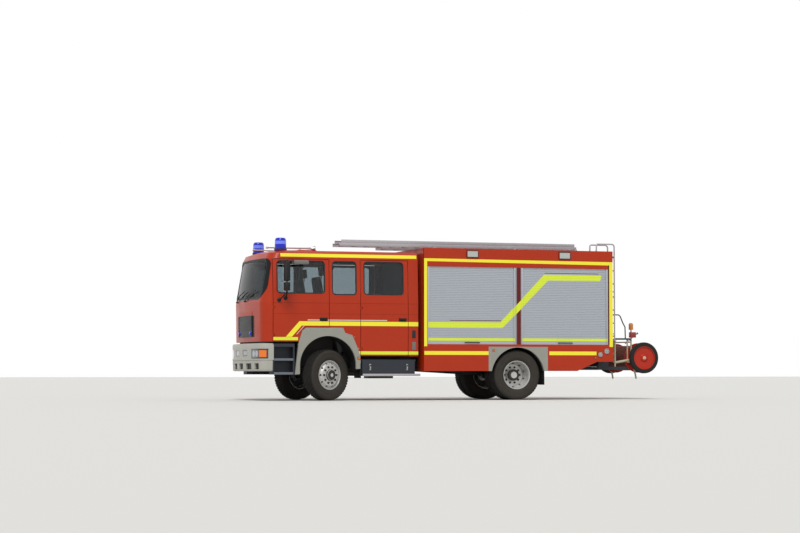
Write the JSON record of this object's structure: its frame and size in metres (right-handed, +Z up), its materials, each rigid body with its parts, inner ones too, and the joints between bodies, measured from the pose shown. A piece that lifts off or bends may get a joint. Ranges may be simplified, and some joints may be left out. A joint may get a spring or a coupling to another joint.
{
  "type": "four-wheel-drive fire engine with crew cab",
  "caption": "Fire engine with a crew cab, an equipment body closed by roller shutters, roof ladders and a wheeled hose reel hung on the rear.",
  "frame": {"origin": "on the ground at the middle of the overall length and width", "axes": "+X forward, +Y to the left, +Z up"},
  "size_m": [9.0948, 3.01, 3.33],
  "materials": {
    "red_paint": "gloss",
    "grey_paint": "satin",
    "dark_grey_steel": "satin",
    "glass": "clear",
    "black_plastic": "matte",
    "lamp_lens": "clear",
    "tail_lens": "gloss",
    "blue_lens": "gloss",
    "chassis_black": "satin",
    "engine_cast": "rough",
    "exhaust_steel": "dull",
    "wheel_silver": "satin",
    "tyre": "matte",
    "shutter_aluminium": "satin",
    "ladder_aluminium": "satin",
    "seat_fabric": "woven",
    "cream_paint": "satin",
    "reel_red": "satin",
    "reel_wheel_red": "satin"
  },
  "bodies": {
    "chassis": {"cab_shell": "red_paint", "windscreen": "glass", "cab_side_glass": "glass", "grille": "black_plastic", "bumper": "grey_paint", "headlamps": "lamp_lens", "entry_steps": "dark_grey_steel", "front_arches": "grey_paint", "body_shell": "red_paint", "body_skirts": "red_paint", "rear_arches": "grey_paint", "shutters": "shutter_aluminium", "scene_lamps": "lamp_lens", "chassis_frame": "chassis_black", "engine_block": "engine_cast", "driveline": "chassis_black", "leaf_springs": "chassis_black", "front_axle": "chassis_black", "rear_axle": "chassis_black", "cab_lockers": "dark_grey_steel", "side_tanks": "chassis_black", "exhaust": "exhaust_steel", "seats": "seat_fabric", "dashboard": "black_plastic", "steering_wheel": "black_plastic", "beacons": "blue_lens", "air_horns": "ladder_aluminium", "wipers": "black_plastic", "left_ladder": "ladder_aluminium", "right_ladder": "ladder_aluminium", "ladder_rack": "ladder_aluminium", "access_ladder": "ladder_aluminium", "rear_beam": "dark_grey_steel", "rear_lamps": "tail_lens", "reel_frame": "cream_paint"},
    "steer_left": {"knuckle_left": "chassis_black"},
    "wheel_front_left": {"front_wheel_left": "wheel_silver", "front_tyre_left": "tyre"},
    "wheel_rear_left": {"rear_wheel_left": "wheel_silver", "rear_tyre_left": "tyre"},
    "door_front_left": {"front_door_left": "red_paint", "front_glass_left": "glass", "mirror_left": "black_plastic"},
    "door_crew_left": {"crew_door_left": "red_paint", "crew_glass_left": "glass"},
    "lid_left": {"locker_lid_left": "dark_grey_steel"},
    "reel_wheel_left": {"reel_wheel_left": "reel_wheel_red"},
    "steer_right": {"knuckle_right": "chassis_black"},
    "wheel_front_right": {"front_wheel_right": "wheel_silver", "front_tyre_right": "tyre"},
    "wheel_rear_right": {"rear_wheel_right": "wheel_silver", "rear_tyre_right": "tyre"},
    "door_front_right": {"front_door_right": "red_paint", "front_glass_right": "glass", "mirror_right": "black_plastic"},
    "door_crew_right": {"crew_door_right": "red_paint", "crew_glass_right": "glass"},
    "lid_right": {"locker_lid_right": "dark_grey_steel"},
    "reel_wheel_right": {"reel_wheel_right": "reel_wheel_red"},
    "reel": {"reel_drum": "reel_red"}
  },
  "joints": [
    {"name": "steer_left_turn", "type": "hinge", "parent": "chassis", "child": "steer_left", "pos_m": [3.0375, 0.94, 0.522], "axis": [0, 0, 1], "range_deg": [-63, 13]},
    {"name": "wheel_front_left_spin", "type": "hinge", "parent": "steer_left", "child": "wheel_front_left", "pos_m": [3.01214, 0.99438, 0.522], "axis": [-0.4226, 0.9063, 0], "continuous": true},
    {"name": "wheel_rear_left_spin", "type": "hinge", "parent": "chassis", "child": "wheel_rear_left", "pos_m": [-1.1295, 0.8875, 0.522], "axis": [0, 1, 0], "continuous": true},
    {"name": "door_front_left_swing", "type": "hinge", "parent": "chassis", "child": "door_front_left", "pos_m": [4.1555, 1.141, 1.6], "axis": [0, 0, -1], "range_deg": [0, 75]},
    {"name": "door_crew_left_swing", "type": "hinge", "parent": "chassis", "child": "door_crew_left", "pos_m": [2.2925, 1.141, 1.6], "axis": [0, 0, -1], "range_deg": [0, 75]},
    {"name": "lid_left_lift", "type": "hinge", "parent": "chassis", "child": "lid_left", "pos_m": [1.7125, 1.138, 0.83], "axis": [1, 0, 0], "range_deg": [0, 85]},
    {"name": "reel_wheel_left_spin", "type": "hinge", "parent": "chassis", "child": "reel_wheel_left", "pos_m": [-4.2125, 0.86, 0.89], "axis": [0, 1, 0], "continuous": true},
    {"name": "steer_right_turn", "type": "hinge", "parent": "chassis", "child": "steer_right", "pos_m": [3.0375, -0.94, 0.522], "axis": [0, 0, 1], "range_deg": [-63, 13]},
    {"name": "wheel_front_right_spin", "type": "hinge", "parent": "steer_right", "child": "wheel_front_right", "pos_m": [3.06286, -0.99438, 0.522], "axis": [0.4226, -0.9063, 0], "continuous": true},
    {"name": "wheel_rear_right_spin", "type": "hinge", "parent": "chassis", "child": "wheel_rear_right", "pos_m": [-1.1295, -0.8875, 0.522], "axis": [0, 1, 0], "continuous": true},
    {"name": "door_front_right_swing", "type": "hinge", "parent": "chassis", "child": "door_front_right", "pos_m": [4.1555, -1.141, 1.6], "axis": [0, 0, 1], "range_deg": [0, 75]},
    {"name": "door_crew_right_swing", "type": "hinge", "parent": "chassis", "child": "door_crew_right", "pos_m": [2.2925, -1.141, 1.6], "axis": [0, 0, 1], "range_deg": [0, 75]},
    {"name": "lid_right_lift", "type": "hinge", "parent": "chassis", "child": "lid_right", "pos_m": [1.7125, -1.138, 0.83], "axis": [-1, 0, 0], "range_deg": [0, 85]},
    {"name": "reel_wheel_right_spin", "type": "hinge", "parent": "chassis", "child": "reel_wheel_right", "pos_m": [-4.2125, -0.86, 0.89], "axis": [0, 1, 0], "continuous": true},
    {"name": "reel_spin", "type": "hinge", "parent": "chassis", "child": "reel", "pos_m": [-4.2125, 0, 0.89], "axis": [0, 1, 0], "continuous": true}
  ],
  "couplings": [
    {"joint": "steer_right_turn", "follows": "steer_left_turn", "ratio": 1}
  ]
}
